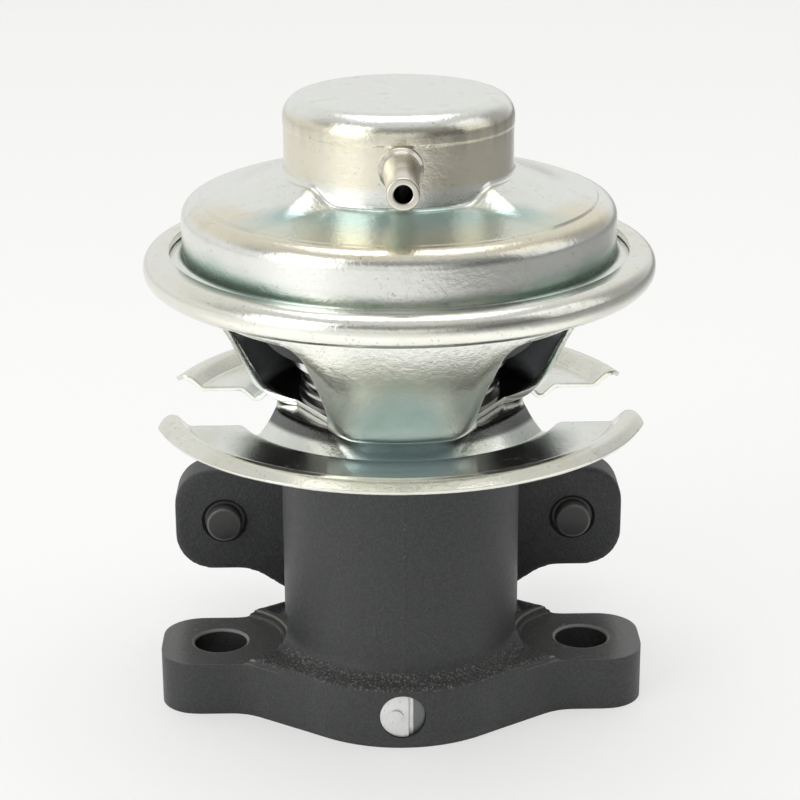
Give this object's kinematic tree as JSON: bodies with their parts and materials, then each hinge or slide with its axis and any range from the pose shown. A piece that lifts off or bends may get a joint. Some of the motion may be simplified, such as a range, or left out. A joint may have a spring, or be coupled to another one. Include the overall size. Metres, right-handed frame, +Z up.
{
  "type": "egr valve",
  "caption": "Vacuum-operated exhaust gas recirculation valve: cast two-flange body, notched heat shield, open spring case, crimped cover with vacuum nipple, sprung stem and poppet.",
  "frame": {"origin": "centre of the gas inlet in the base flange's lower face", "axes": "+Z up along the valve stem, -Y towards the vacuum nipple, +Y towards the outlet flange"},
  "size_m": [0.0829, 0.0884, 0.1043],
  "materials": {
    "cast_body": "black paint over sand-cast iron, semi-matt",
    "seat_steel": "turned heat-resisting steel",
    "guide_bronze": "machined bronze",
    "seal_graphite": "pressed graphite",
    "zinc_plate": "zinc-plated pressed steel",
    "plug_steel": "bare steel face",
    "painted_stud": "painted over with the body",
    "insulator": "graphite gasket sheet",
    "zinc_shield": "zinc-plated pressed steel, satin",
    "zinc_case": "zinc-plated pressed steel, satin",
    "screw_steel": "zinc-plated steel",
    "spring_steel": "dark oil-tempered wire",
    "diaphragm_rubber": "fabric-reinforced rubber",
    "zinc_cover": "zinc-plated pressed steel, satin",
    "nipple_steel": "plated drawn tube",
    "stem_steel": "ground stainless rod"
  },
  "bodies": {
    "housing": {"valve_body": "cast_body", "valve_seat": "seat_steel", "stem_guide": "guide_bronze", "stem_seal": "seal_graphite", "seal_cap": "zinc_plate", "passage_plug": "plug_steel", "left_stud": "painted_stud", "right_stud": "painted_stud", "insulator": "insulator", "heat_shield": "zinc_shield", "spring_case": "zinc_case", "case_screws": "screw_steel", "spring_ring": "zinc_plate", "balance_spring": "spring_steel", "diaphragm": "diaphragm_rubber", "return_spring": "spring_steel", "upper_cover": "zinc_cover", "vacuum_nipple": "nipple_steel"},
    "valve": {"valve_head": "seat_steel", "valve_stem": "stem_steel", "lower_plate": "zinc_plate", "upper_plate": "zinc_plate", "plate_washer": "zinc_plate", "stem_nut": "screw_steel"}
  },
  "joints": [
    {"name": "valve_lift", "type": "slide", "parent": "housing", "child": "valve", "axis": [0, 0, 1], "range_m": [0, 0.005], "stiffness_N_per_m": 1500, "springref_m": -0.008, "deforming": ["return_spring", "balance_spring", "diaphragm"]}
  ]
}
